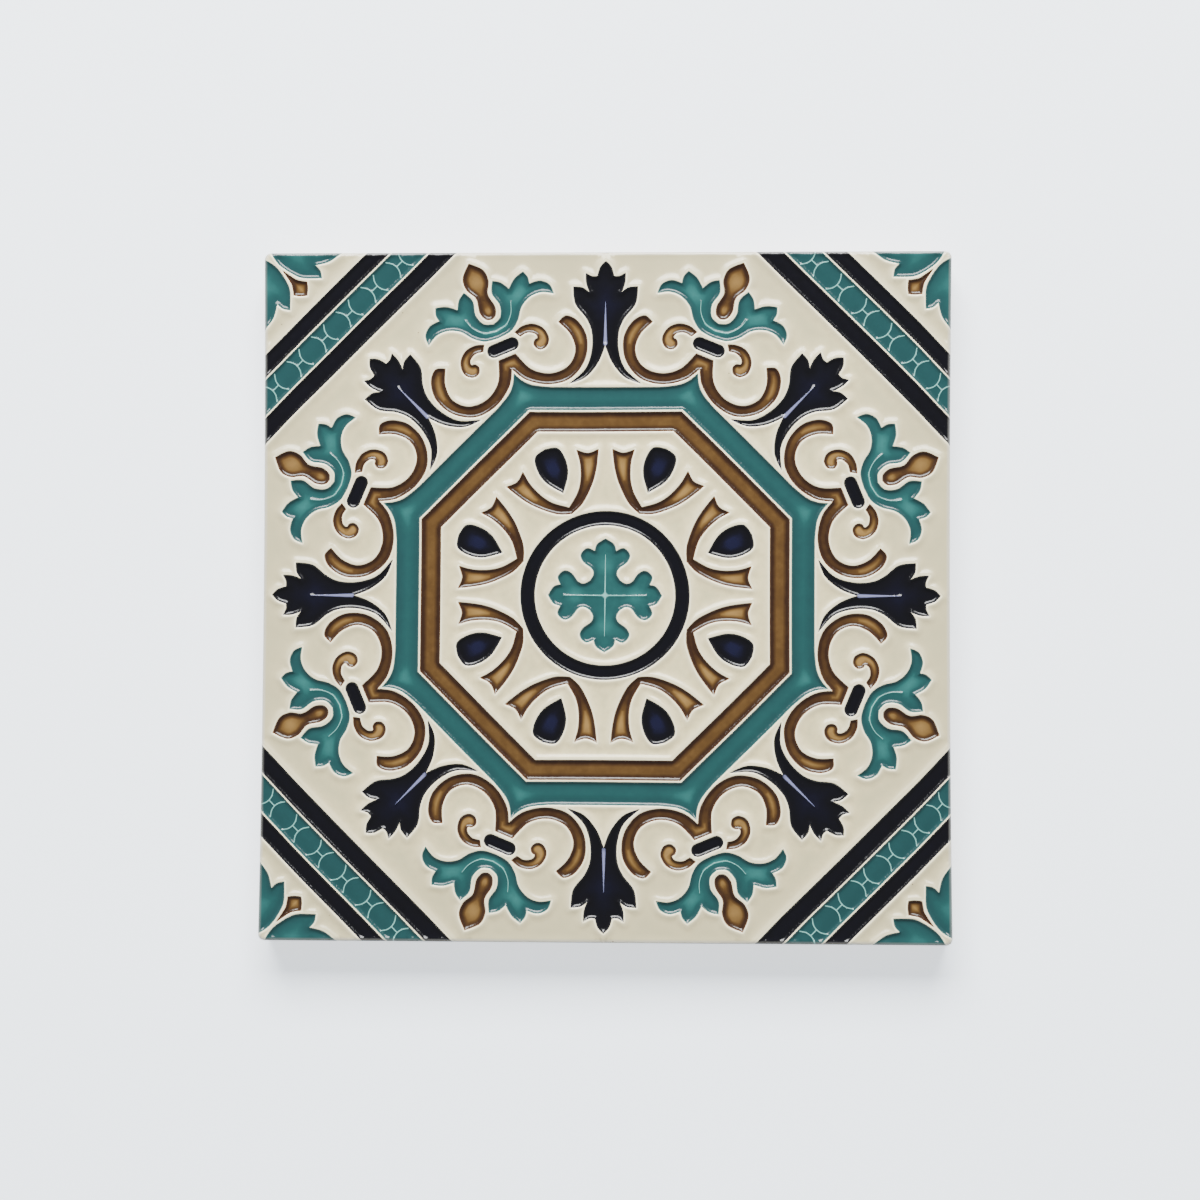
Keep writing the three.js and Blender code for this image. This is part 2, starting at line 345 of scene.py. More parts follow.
def raised_line(path, half_widths):
    """Adds a line by its path and its half-widths in millimetres at the path's start and end."""
    lines.append((even_steps(path, outline_step), half_widths[0] * mm, half_widths[1] * mm))


for side in (-1, 1):
    raised_line(on_axis(smooth_run(vein_run) * (side, 1), petal_axis), vein_widths)
for palmette_axis in (top_axis, corner_axis):
    raised_line(on_axis(np.array(midrib) * mm, palmette_axis), midrib_widths)
raised_line(np.array(cross_arm) * mm, cross_widths)
raised_line(np.array(boss) * mm, boss_widths)
for link in range(links_each_side):
    link_middle = np.array(((link + 0.5) * link_pitch, teal_band_start + teal_band / 2))
    for side in (-1, 1):
        raised_line(from_corner(smooth_run(link_arc_run) * (side, 1) + link_middle), link_widths)
    raised_line(from_corner(np.array(link_bar) * mm + link_middle), link_widths)

# Mesh of the slice
# The face is one fired surface, so every well, ridge and line of the slice is cut into one mesh. Its
# points stand in rows beside each outline, line and edge, where the relief is steep, and fill the rest.
corner_radius = 1.4 * mm
arris = 1.0 * mm
round_centre = half_side - corner_radius
touching = 0.0001 * mm
same_place = 0.001 * mm


def edge_inset(points):
    """How far each point of the slice lies inside the tile's round-cornered outline."""
    beyond = points - round_centre
    straight = half_side - points[:, 1]
    rounded = corner_radius - np.linalg.norm(beyond, axis=1)
    return np.where(beyond[:, 0] > 0, rounded, straight)


def in_slice(points, slack=touching):
    """True inside the slice between the top axis and the corner's diagonal."""
    x, y = points[:, 0], points[:, 1]
    return (x > -slack) & (y > x - slack) & (edge_inset(points) > -slack)


# Limits that keep the creep from shooting out at a sharp corner or along the tile's edge
sharpest_turn = 0.6
steepest_slide = 0.5


def spread(outline, creep, island):
    """The outline moved out by the glaze's creep up the ridges; on the tile's edge it slides."""
    along = np.roll(outline, -1, axis=0) - outline
    along /= np.linalg.norm(along, axis=1)[:, None]
    out_next = along[:, ::-1] * (1, -1)
    x, y = outline.T
    area = (x * np.roll(y, -1) - y * np.roll(x, -1)).sum()
    out_next = out_next * np.sign(area) * (-1 if island else 1)
    out_last = np.roll(out_next, 1, axis=0)
    blunt = np.maximum(1 + (out_next * out_last).sum(axis=1), sharpest_turn)
    moved = outline + creep * (out_next + out_last) / blunt[:, None]
    on_edge = abs(y - half_side) < touching
    edge_next = on_edge & np.roll(on_edge, -1)
    way = np.where(edge_next[:, None], out_last, out_next)[:, 0]
    slide = creep / np.where(way < 0, np.minimum(way, -steepest_slide), np.maximum(way, steepest_slide))
    return np.where(on_edge[:, None], np.column_stack([x + slide, y]), moved)


stretches = []
for entry in motifs:
    entry["outlines"] = [spread(outline, entry["creep"], number > 0)
                         for number, outline in enumerate(entry["outlines"])]
    for outline in entry["outlines"]:
        following = np.roll(outline, -1, axis=0)
        kept = in_slice(outline) & in_slice(following) & in_slice((outline + following) / 2, -same_place)
        kept &= (edge_inset(outline) > touching) | (edge_inset(following) > touching)
        stretches.append((outline[kept], following[kept]))
outline_starts, outline_ends = (np.vstack(ends) for ends in zip(*stretches))

line_starts = np.vstack([path[:-1] for path, start, end in lines])
line_ends = np.vstack([path[1:] for path, start, end in lines])
tapers = [np.linspace(start, end, len(path)) for path, start, end in lines]
line_widths = [np.concatenate([taper[:-1] for taper in tapers]),
               np.concatenate([taper[1:] for taper in tapers])]

# The slice's own border: down the top axis, along the tile's edge to its corner, and the diagonal
border_step = 0.45 * mm
round_stops = 5
corner_turn = np.linspace(math.pi / 2, math.pi / 4, round_stops)
tile_corner = round_centre + corner_radius * np.stack([np.cos(corner_turn), np.sin(corner_turn)], axis=1)
flat_edge = even_steps(np.array([(0, half_side), tile_corner[0]]), border_step)[:-1]
tile_edge = np.vstack([flat_edge, tile_corner])
top_line = even_steps(np.array([(0, 0), (0, half_side)]), border_step)
diagonal = even_steps(np.array([(0, 0), tile_corner[-1]]), border_step)

# The rows' distances from an outline, from the tile's edge, and from a raised line in half-widths, the
# reach of a line that other rows keep clear of, and how closely points may stand
outline_rows = (0.12 * mm, 0.28 * mm, 0.45 * mm, 0.7 * mm, 1.0 * mm, 1.5 * mm)
arris_rows = (0.03 * mm, 0.12 * mm, 0.3 * mm, 0.6 * mm, 1.0 * mm)
line_rows = (0.75, 1.6)
line_reach = 2.2
row_step = 0.36 * mm
fill_step = 0.7 * mm
fill_rise = fill_step * math.sqrt(3) / 2
line_spacing = 0.02 * mm
row_clearance = 0.93
row_margin = 0.3
packing = 0.62
border_packing = 0.5
near_share, near_spacing = 0.8, 0.1 * mm
arris_share, arris_spacing = 0.5, 0.02 * mm
block_size = 2000
shortest_square = 1e-18


def nearest(points, starts, ends, widths=None):
    """Each point's distance to the nearest stretch, in half-widths where they are given."""
    best = np.full(len(points), np.inf)
    along = ends - starts
    square = np.maximum((along**2).sum(axis=1), shortest_square)
    for i in range(0, len(points), block_size):
        block = points[i:i + block_size, None, :]
        share = np.clip(((block - starts) * along).sum(axis=2) / square, 0, 1)
        gap = np.linalg.norm(block - starts - share[:, :, None] * along, axis=2)
        if widths is not None:
            gap = gap / (widths[0] + (widths[1] - widths[0]) * share)
        best[i:i + block_size] = gap.min(axis=1)
    return best


def rows_beside(starts, ends, offset):
    """A row of points on each side of the stretches, at an offset that may differ along them."""
    along = ends - starts
    across = along[:, ::-1] * (-1, 1) / np.linalg.norm(along, axis=1)[:, None]
    middle = (starts + ends) / 2
    return np.vstack([middle - across * offset, middle + across * offset])


def thinned(points, taken, spacing):
    """The points that keep their spacing from those already taken and from each other."""
    cells = {}
    for x, y in taken:
        cells.setdefault((int(x // spacing), int(y // spacing)), []).append((x, y))
    kept = []
    for x, y in points:
        column, row = int(x // spacing), int(y // spacing)
        close = any((x - px)**2 + (y - py)**2 < spacing**2
                    for c in (column - 1, column, column + 1) for r in (row - 1, row, row + 1)
                    for px, py in cells.get((c, r), ()))
        if not close:
            cells.setdefault((column, row), []).append((x, y))
            kept.append((x, y))
    return np.array(kept).reshape(-1, 2)


def clear_of_lines(points):
    return points[nearest(points, line_starts, line_ends, line_widths) > line_reach]


fixed = np.vstack([outline_starts, outline_ends, tile_edge])
border_points = thinned(np.vstack([top_line, diagonal]), fixed, border_packing * border_step)
taken = np.vstack([fixed, border_points])

middle_widths = (line_widths[0] + line_widths[1])[:, None] / 2
cap_turns = np.linspace(-math.pi / 2, math.pi / 2, round_stops)
line_points = [line_starts, line_ends]
for row_width in line_rows:
    rows = [rows_beside(line_starts, line_ends, row_width * middle_widths)]
    for path, start_width, end_width in lines:
        for end, inner, width in ((path[0], path[1], start_width), (path[-1], path[-2], end_width)):
            heading = math.atan2(*(end - inner)[::-1])
            cap = np.stack([np.cos(heading + cap_turns), np.sin(heading + cap_turns)], axis=1)
            rows.append(end + row_width * width * cap)
    rows = np.vstack(rows)
    clear = nearest(rows, line_starts, line_ends, line_widths) > row_clearance * row_width
    line_points.append(rows[clear])
for row in line_points:
    row = row[in_slice(row, -line_spacing)]
    taken = np.vstack([taken, thinned(row, taken, line_spacing)])
for offset in outline_rows:
    row = rows_beside(outline_starts, outline_ends, offset)
    row = row[in_slice(row, -row_margin * offset)]
    row = clear_of_lines(row[nearest(row, outline_starts, outline_ends) > row_clearance * offset])
    spacing = min(packing * row_step, near_share * offset + near_spacing)
    taken = np.vstack([taken, thinned(row, taken, spacing)])
for offset in arris_rows:
    straight = flat_edge - (0, offset)
    row = np.vstack([straight, tile_corner + (round_centre - tile_corner) * offset / corner_radius])
    row = row[in_slice(row, -row_margin * offset)]
    taken = np.vstack([taken, thinned(row, taken, arris_share * offset + arris_spacing)])
lattice_x, lattice_y = np.meshgrid(np.arange(0, half_side, fill_step), np.arange(0, half_side, fill_rise))
lattice_x[1::2] += fill_step / 2
lattice = np.stack([lattice_x.ravel(), lattice_y.ravel()], axis=1)
lattice = clear_of_lines(lattice[in_slice(lattice, -row_margin * fill_step)])
taken = np.vstack([taken, thinned(lattice, taken, packing * fill_step)])

# The mesh keeps every outline, every raised line and the slice's border as edges
merge_gap = 0.01 * same_place
least_area = 1e-7 * mm**2


def place_key(point):
    return tuple(np.round(point / touching).astype(int))


cloud = {}
for point in taken:
    cloud.setdefault(place_key(point), (len(cloud), point))
face_points = np.array([point for number, point in cloud.values()])
kept_edges = []
for a, b in zip(np.vstack([outline_starts, line_starts]), np.vstack([outline_ends, line_ends])):
    if place_key(a) in cloud and place_key(b) in cloud:
        kept_edges.append((cloud[place_key(a)][0], cloud[place_key(b)][0]))
x, y = face_points.T
for border_gap, along_border in ((x, y), (x - y, y), (edge_inset(face_points), x)):
    chain = np.flatnonzero(abs(border_gap) < same_place)
    chain = chain[np.argsort(along_border[chain])]
    kept_edges += list(zip(chain.tolist(), chain[1:].tolist()))
meshed = delaunay_2d_cdt([Vector(point) for point in face_points], kept_edges, [], 0, merge_gap)
face_points = np.array([tuple(point) for point in meshed[0]])
triangles = np.array(meshed[2])
sides = face_points[triangles[:, 1:]] - face_points[triangles[:, :1]]
twice_area = sides[:, 0, 0] * sides[:, 1, 1] - sides[:, 0, 1] * sides[:, 1, 0]
triangles = triangles[twice_area > 2 * least_area]


def inside(points, outlines):
    """True for the points that an odd number of crossings sets inside the outlines."""
    x, y = points[:, 0], points[:, 1]
    odd = np.zeros(len(points), dtype=bool)
    for outline in outlines:
        for (x1, y1), (x2, y2) in zip(outline, np.roll(outline, -1, axis=0)):
            crossing = (y1 > y) != (y2 > y)
            odd[crossing] ^= x[crossing] < x1 + (x2 - x1) * (y[crossing] - y1) / (y2 - y1)
    return odd


edge_gap = nearest(face_points, outline_starts, outline_ends)
rim_gap = edge_inset(face_points)
line_share = nearest(face_points, line_starts, line_ends, line_widths)
centres = face_points[triangles].mean(axis=1)
triangle_motif = np.full(len(triangles), -1)
for i, entry in enumerate(motifs):
    triangle_motif[inside(centres, entry["outlines"])] = i
well_motif = np.full(len(face_points), -1)
in_well = triangle_motif >= 0
for corner in range(3):
    well_motif[triangles[in_well, corner]] = triangle_motif[in_well]

# Relief
# The pressed clay's heights under the ridges' crests: a narrow crest on each ridge, a ground that
# sinks away from it, and wells with a steep wall, a groove at its foot and a floor that swells.
crest_gap = 0.25 * mm
shoulder = 0.1 * mm
ground_run, ground_drop = 1.5 * mm, 0.42 * mm
dish_run, dish_drop = 6.0 * mm, 0.12 * mm
wall_run, wall_drop, wall_steepness = 1.1 * mm, 0.5 * mm, 3
floor_swell = 0.1 * mm
groove_width = 0.3 * mm
line_height = 0.05 * mm
line_crown, line_foot = 0.3, 1.5
level_rim = 1.3 * arris


def smooth_between(start, end, amount):
    """Nought below the start, one above the end, and smooth between them."""
    t = np.clip((amount - start) / (end - start), 0, 1)
    return t * t * (3 - 2 * t)


on_shoulder = -shoulder * (1 - np.clip(edge_gap / crest_gap, 0, 1))**2
sinking = -ground_drop * smooth_between(crest_gap, crest_gap + ground_run, edge_gap)
dishing = -dish_drop * smooth_between(crest_gap + ground_run, dish_run, edge_gap)
ground_relief = on_shoulder + sinking + dishing
reach = np.ones(len(motifs))
for i in range(len(motifs)):
    of_motif = well_motif == i
    if of_motif.any():
        reach[i] = max(edge_gap[of_motif].max(), 2 * groove_width)
well_reach = reach[well_motif]
down_wall = np.clip(edge_gap / np.minimum(wall_run, well_reach), 0, 1)
wall = -shoulder - wall_drop * (1 - (1 - down_wall)**wall_steepness)
swell = smooth_between(groove_width, well_reach, edge_gap)
in_line = 1 - smooth_between(line_crown, line_foot, line_share)
well_relief = wall + floor_swell * swell + line_height * in_line
is_well = well_motif >= 0
relief = np.where(is_well & (edge_gap > same_place), well_relief, ground_relief)
arris_fall = arris - np.sqrt(arris**2 - np.clip(arris - rim_gap, 0, arris)**2)
height = face_top + relief * smooth_between(0, level_rim, rim_gap) - arris_fall

# Clay body
# The biscuit that the glazes lie on: pressed buff clay, bare and a little rough on its back and on
# the lower part of its sides, with a fine arris round the back. It bows a little as it is fired.

# The small faults that pressing and firing leave
side_bow, bow_start = 0.5 * mm, 0.88 * half_side
wander, warp, shrinkage = 0.1 * mm, 0.06 * mm, 0.12 * mm
true_rim = 6 * mm
face_depth = 0.6 * arris


def fired(points):
    """The sides a little bowed, and the face a little out of true.

    Each wave has its rates across and up the face, in radians a metre, and its start.
    """
    x, y, z = points.T

    def wave(across, up, start):
        return np.sin(across * x + up * y + start)

    crossing = math.pi / 2
    bow = side_bow * (1 - (y / half_side)**2) * smooth_between(bow_start, half_side, abs(x))
    wander_x = wander * (wave(0, 61, 0.7) * wave(43, 0, 0.4 + crossing) + wave(140, 97, 0) / 2)
    wander_y = wander * (wave(57, 0, 2.1) * wave(0, 49, 1.3 + crossing) + wave(-83, 121, 0) / 2)
    warped = warp * (wave(71, 0, 1.1) * wave(0, 53, 0.3) + wave(160, 0, 2) * wave(0, 131, 0.9))
    calm = smooth_between(0, true_rim, half_side - np.maximum(abs(x), abs(y)))
    on_face = 1 - smooth_between(0, arris, face_top - z - face_depth)
    return np.column_stack([x - np.sign(x) * bow + wander_x * calm, y + wander_y * calm,
                            z + (warped - shrinkage) * on_face * calm])


# Each level of the body: how far it is drawn in, and its height
body_inset = 0.12 * mm
back_arris, back_arris_middle = 0.5 * mm, 0.15 * mm
body_arcs = 6
body_step = 3 * mm
body_levels = [
    (back_arris, 0),
    (back_arris_middle, back_arris_middle),
    (0, back_arris),
    (0, face_top - 1.7 * mm),
    (0, face_top - 1.3 * mm),
    (0.7 * mm, face_top - 0.9 * mm),
]


def body_ring(inset, level):
    """One round-cornered square of points round the body."""
    corner = round_centre - body_inset
    angle = np.linspace(0, math.pi / 2, body_arcs + 1)
    arc = (corner_radius - inset) * np.stack([np.cos(angle), np.sin(angle)], axis=1) + corner
    flat = even_steps(np.array([arc[-1], arc[-1] * (-1, 1)]), body_step)[1:-1]
    side = np.vstack([arc, flat])
    ring = np.vstack([turned(side, -i * math.pi / 2) for i in range(quarters)])
    return np.column_stack([ring, np.full(len(ring), level)])


def add_node(tree, kind, settings=None, inputs=None):
    """A node of the tree: its settings first, then the values or the links of its sockets."""
    node = tree.nodes.new(kind)
    for name, value in (settings or {}).items():
        if name == "stops":
            ramp = node.color_ramp
            while len(ramp.elements) < len(value):
                ramp.elements.new(0.5)
            for element, (place, colour) in zip(ramp.elements, value):
                element.position = place
                element.color = (*colour, 1)
        else:
            setattr(node, name, value)
    for name, value in (inputs or {}).items():
        socket = node.inputs[name]
        if isinstance(value, bpy.types.NodeSocket):
            tree.links.new(value, socket)
        else:
            socket.default_value = (*value, 1) if socket.type == "RGBA" else value
    return node


class Amount:
    """A value that changes over a surface, so that shader maths can be written as sums."""

    def __init__(self, finish, socket):
        self.finish = finish
        self.socket = socket

    def __add__(self, other):
        return self.finish.maths("ADD", self, other)

    def __sub__(self, other):
        return self.finish.maths("SUBTRACT", self, other)

    def __rsub__(self, other):
        return self.finish.maths("SUBTRACT", other, self)

    def __mul__(self, other):
        return self.finish.maths("MULTIPLY", self, other)

    __radd__ = __add__
    __rmul__ = __mul__


class Finish:
    """A material that is written node by node."""

    def __init__(self, name):
        self.result = bpy.data.materials.new(name)
        self.result.use_nodes = True
        self.tree = self.result.node_tree
        self.tree.nodes.clear()
        self.out = self.tree.nodes.new("ShaderNodeOutputMaterial")

    def node(self, kind, settings=None, inputs=None, output=0):
        """What a new node gives, with amounts or plain values in its sockets."""
        values = {name: getattr(value, "socket", value) for name, value in (inputs or {}).items()}
        return Amount(self, add_node(self.tree, kind, settings, values).outputs[output])

    def maths(self, operation, first, second):
        return self.node("ShaderNodeMath", {"operation": operation}, {0: first, 1: second})

    def attribute(self, label):
        return self.node("ShaderNodeAttribute", {"attribute_name": label}, output="Fac")

    def place(self):
        return self.node("ShaderNodeTexCoord", output="Object")

    def noise(self, size, seed, detail=3):
        """Soft noise between nought and one, mostly near a half, with blots of that size."""
        return self.node("ShaderNodeTexNoise", {"noise_dimensions": "4D"},
                         {"Vector": self.place(), "W": seed, "Scale": 1 / size, "Detail": detail}, "Fac")

    def dots(self, pitch, fade):
        """One in small dots that lie about a pitch apart, nought between them."""
        cells = {"Vector": self.place(), "Scale": 1 / pitch}
        return 1 - self.between(fade, self.node("ShaderNodeTexVoronoi", None, cells, "Distance"))

    def between(self, fade, amount):
        """Nought below the fade's start, one above its end, and smooth between them."""
        return self.node("ShaderNodeMapRange", {"interpolation_type": "SMOOTHSTEP"},
                         {"Value": amount, "From Min": fade[0], "From Max": fade[1]}, "Result")

    def mix(self, share, first, second):
        """The first colour, and the second one where the share is one."""
        return self.node("ShaderNodeMix", {"data_type": "RGBA"}, {0: share, 6: first, 7: second}, 2)

    def tinted(self, colour, mask, tint):
        """The colour with a tint over it where the mask is one, at the tint's own strength."""
        tint_colour, strength = tint
        return self.mix(mask * strength, colour, tint_colour)

    def painted(self, inputs):
        """The finished material, by what goes into its shader."""
        shader = self.node("ShaderNodeBsdfPrincipled", None, inputs)
        self.tree.links.new(shader.socket, self.out.inputs["Surface"])
        return self.result

    def surface(self, colour, roughness, relief, depth, refraction=1.5):
        """The finished material, by its colour and gloss and a fine relief in its skin."""
        bumps = {"Height": relief, "Distance": depth, "Strength": 1}
        return self.painted({"Base Color": colour, "Roughness": roughness, "IOR": refraction,
                             "Normal": self.node("ShaderNodeBump", None, bumps, "Normal")})


# A fade runs between two values: of a distance in millimetres, of noise, or of a share of the lap. A
# tint is a colour and its strength.
grain_size, blot_size, pit_pitch = 0.35 * mm, 14 * mm, 1.7 * mm
clay_dark, clay_light = (0.42, 0.27, 0.165), (0.50, 0.345, 0.225)
clay_grain, grain_fade = ((0.32, 0.195, 0.12), 0.5), (0.45, 0.75)
clay_pit, pit_fade = ((0.25, 0.15, 0.1), 0.5), (0.04, 0.14)
clay_roughness = 0.9
clay_skin_depth = 0.12 * mm


def clay():
    finish = Finish("Bare buff clay")
    grain = finish.noise(grain_size, seed=41)
    blots = finish.noise(blot_size, seed=42)
    pits = finish.dots(pit_pitch, pit_fade)
    colour = finish.mix(blots, clay_dark, clay_light)
    colour = finish.tinted(colour, finish.between(grain_fade, grain), clay_grain)
    colour = finish.tinted(colour, pits, clay_pit)
    return finish.surface(colour, clay_roughness, grain - pits, clay_skin_depth)


rings = [body_ring(inset, level) for inset, level in body_levels]
around = len(rings[0])
body_points = np.vstack(rings)
body_faces = [tuple(range(around))[::-1]]
for first in range(0, len(body_points) - around, around):
    for i in range(around):
        a, b = first + i, first + (i + 1) % around
        body_faces.append((a, b, b + around, a + around))
body_faces.append(tuple(range(len(body_points) - around, len(body_points))))
biscuit_mesh = bpy.data.meshes.new("clay")
biscuit_mesh.from_pydata(fired(body_points).tolist(), [], body_faces)
biscuit_mesh.materials.append(clay())
biscuit = bpy.data.objects.new("biscuit", biscuit_mesh)
bpy.context.scene.collection.objects.link(biscuit)
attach(biscuit, "root")
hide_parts("tile")

# Ivory glaze
# The ground colour of the face: a milky tin glaze, poured over the whole tile. It runs thin and
# creamy on the ridges, brightened there by a painted highlight, lies thicker and a little greener
# between them, is darkened by painted shade towards the tile's edges, and laps over the edges.

# How thin each glaze lies, from nought where it pools to one where it barely covers the clay
thin = np.zeros(len(face_points))
for i, entry in enumerate(motifs):
    of_motif = well_motif == i
    place = face_points[of_motif]
    on_spots = np.zeros(len(place))
    for spot_x, spot_y, size in entry["spots"]:
        on_spots += np.exp(-((place - (spot_x, spot_y))**2).sum(axis=1) / size**2)
    groove_start, groove_end = entry["groove"]
    out_of_groove = smooth_between(groove_start, min(groove_end, reach[i]), edge_gap[of_motif])
    on_floor = entry["plain"] + (entry["thinnest"] - entry["plain"]) * on_spots
    thin[of_motif] = out_of_groove * np.minimum(on_floor, 1)

# The lap: rows of points down the tile's side, the last one drawn in to close the gap to the clay
lap_rows = (0.35 * mm, 0.9 * mm, 1.5 * mm, 2.1 * mm)
lip = 0.16 * mm
edge_level = face_top - arris
edge_chain = np.flatnonzero(abs(rim_gap) < same_place)
edge_chain = edge_chain[np.argsort(face_points[edge_chain, 0] - face_points[edge_chain, 1])]
edge_places = face_points[edge_chain]
rounded = (edge_places - round_centre) / corner_radius
outward = np.where(edge_places[:, :1] > round_centre, rounded, (0, 1))
edge_owner = {}
for triangle, owner in zip(triangles, triangle_motif):
    for a, b in zip(triangle, np.roll(triangle, -1)):
        edge_owner[(a, b)] = edge_owner[(b, a)] = owner
points_3d = [np.column_stack([face_points, height])]
source = list(range(len(face_points)))
lap_triangles = []
lap_motifs = []
above = edge_chain
for fall in lap_rows:
    row = np.arange(len(source), len(source) + len(edge_chain))
    row_places = edge_places - lip * outward if fall == lap_rows[-1] else edge_places
    points_3d.append(np.column_stack([row_places, np.full(len(row), edge_level - fall)]))
    source += edge_chain.tolist()
    for i in range(len(row) - 1):
        owner = edge_owner[(edge_chain[i], edge_chain[i + 1])]
        lap_triangles += [(above[i + 1], above[i], row[i]), (above[i + 1], row[i], row[i + 1])]
        lap_motifs += [owner, owner]
    above = row
points_3d = np.vstack(points_3d)
triangles = np.vstack([triangles, lap_triangles])
triangle_motif = np.concatenate([triangle_motif, lap_motifs])
face_glazes = np.array([entry["glaze"] for entry in motifs] + ["ivory"])[triangle_motif]

# What the glazes' materials read, point by point, with distances in millimetres
surface_values = {
    "from_edge": edge_gap[source] / mm,
    "rim": rim_gap[source] / mm,
    "thin": thin[source],
    "line": (in_line * is_well)[source],
    "lap": np.clip((edge_level - points_3d[:, 2]) / lap_rows[-1], 0, 1),
}


def repeat_tree():
    """The slice and its mirror image, repeated by quarter turns round the tile's middle."""
    tree = bpy.data.node_groups.new("Slice round the face", "GeometryNodeTree")
    for name, kind in (("Slice", "Geometry"), ("Turns", "Int"), ("Weld", "Float"), ("Glaze", "Material")):
        tree.interface.new_socket(name, in_out="INPUT", socket_type="NodeSocket" + kind)
    tree.interface.new_socket("Face", in_out="OUTPUT", socket_type="NodeSocketGeometry")
    given = tree.nodes.new("NodeGroupInput").outputs

    def step(kind, output, inputs, settings=None):
        return add_node(tree, kind, settings, inputs).outputs[output]

    flipped = step("GeometryNodeTransform", "Geometry", {"Geometry": given["Slice"], "Scale": (-1, 1, 1)})
    facing_out = step("GeometryNodeFlipFaces", "Mesh", {"Mesh": flipped})
    quarter = add_node(tree, "GeometryNodeJoinGeometry", None, {"Geometry": given["Slice"]})
    tree.links.new(facing_out, quarter.inputs["Geometry"])
    middle = step("GeometryNodeMeshLine", "Mesh", {"Count": given["Turns"], "Offset": (0, 0, 0)})
    number = step("GeometryNodeInputIndex", "Index", {})
    share = step("ShaderNodeMath", 0, {0: number, 1: given["Turns"]}, {"operation": "DIVIDE"})
    angle = step("ShaderNodeMath", 0, {0: share, 1: 2 * math.pi}, {"operation": "MULTIPLY"})
    turn = step("ShaderNodeCombineXYZ", "Vector", {"Z": angle})
    placed = step("GeometryNodeInstanceOnPoints", "Instances",
                  {"Points": middle, "Instance": quarter.outputs["Geometry"], "Rotation": turn})
    real = step("GeometryNodeRealizeInstances", "Geometry", {"Geometry": placed})
    welded = step("GeometryNodeMergeByDistance", "Geometry", {"Geometry": real, "Distance": given["Weld"]})
    glazed = step("GeometryNodeSetMaterial", "Geometry", {"Geometry": welded, "Material": given["Glaze"]})
    add_node(tree, "NodeGroupOutput", None, {"Face": glazed})
    return tree


slice_repeat = repeat_tree()
weld_gap = 0.002 * mm
lap_waves = ((0.6 * mm, 17, 0.5), (0.5 * mm, 41, 2.2), (0.35 * mm, 97, 1.2))


def lapped(points):
    """The glaze's lower edge, which ran further down here and there, in waves round the tile."""
    x, y, z = points.T
    share = smooth_between(edge_level - lap_rows[0], edge_level - lap_rows[-1], z)
    way = np.arctan2(y, x)
    run = sum(depth * np.sin(count * way + start) for depth, count, start in lap_waves)
    return np.column_stack([x, y, z - run * share])


def glaze_skin(name, glaze, material):
    """All of one glaze on the face, as a plain mesh."""
    chosen = triangles[face_glazes == glaze]
    used, chosen = np.unique(chosen, return_inverse=True)
    mesh = bpy.data.meshes.new(name)
    mesh.from_pydata(points_3d[used].tolist(), [], chosen.reshape(-1, 3).tolist())
    for label, values in surface_values.items():
        layer = mesh.attributes.new(label, "FLOAT", "POINT")
        layer.data.foreach_set("value", values[used].astype(np.float32))
    piece = bpy.data.objects.new(name, mesh)
    bpy.context.scene.collection.objects.link(piece)
    modifier = piece.modifiers.new("Repeat", "NODES")
    modifier.node_group = slice_repeat
    sockets = {item.name: item.identifier for item in slice_repeat.interface.items_tree
               if item.in_out == "INPUT"}
    modifier[sockets["Turns"]] = quarters
    modifier[sockets["Weld"]] = weld_gap
    modifier[sockets["Glaze"]] = material
    bpy.context.view_layer.update()
    whole = bpy.data.meshes.new_from_object(piece.evaluated_get(bpy.context.evaluated_depsgraph_get()))
    piece.modifiers.clear()
    piece.data = whole
    places = np.empty(3 * len(whole.vertices))
    whole.vertices.foreach_get("co", places)
    whole.vertices.foreach_set("co", lapped(fired(places.reshape(-1, 3))).ravel())
    whole.shade_smooth()
    whole.update()
    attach(piece, "root")
    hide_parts("tile")


def swing(noise, reach):
    """The noise as a swing to both sides of nought."""
    return (noise - 0.5) * reach


# A swing is how far noise moves a fade.
cloud_size, mottle_size, speck_pitch = 9 * mm, 1.6 * mm, 7 * mm
ivory_plain, ivory_pooled, pool_fade, pool_swing = (0.71, 0.62, 0.345), (0.54, 0.50, 0.285), (1.2, 4.5), 4
ivory_mottled, mottle_fade = ((0.53, 0.46, 0.255), 0.4), (0.35, 0.7)
# Painted shade: the ground's colour darkened towards the tile's edges
ivory_edge_shade, edge_shade_fade, edge_shade_swing = ((0.50, 0.45, 0.27), 0.75), (3, 34), 12
# The crests' colour is the creamy thin glaze on the ridges brightened as a painted highlight, with a
# fainter painted highlight spreading from them over the ground
ivory_crest_and_highlight, crest_fade, crest_swing = (0.9, 0.83, 0.56), (0.22, 0.55), 0.15
painted_highlight_share, painted_highlight_fade, painted_highlight_swing = 0.25, (0.3, 1.7), 0.5
ivory_arris, arris_fade = ((0.60, 0.58, 0.52), 0.7), (0.2, 1.0)
iron_speck, speck_fade, speckled_clouds = ((0.12, 0.08, 0.05), 0.8), (0.012, 0.03), (0.45, 0.5)
clay_showing, lap_fade, lap_swing = ((0.45, 0.33, 0.24), 0.6), (0.6, 1.0), 0.4
ivory_gloss, ivory_dulling = 0.16, 0.1
ivory_ripple, ivory_grain, grain_share = 2.2 * mm, 0.5 * mm, 0.15
ivory_skin_depth = 0.02 * mm


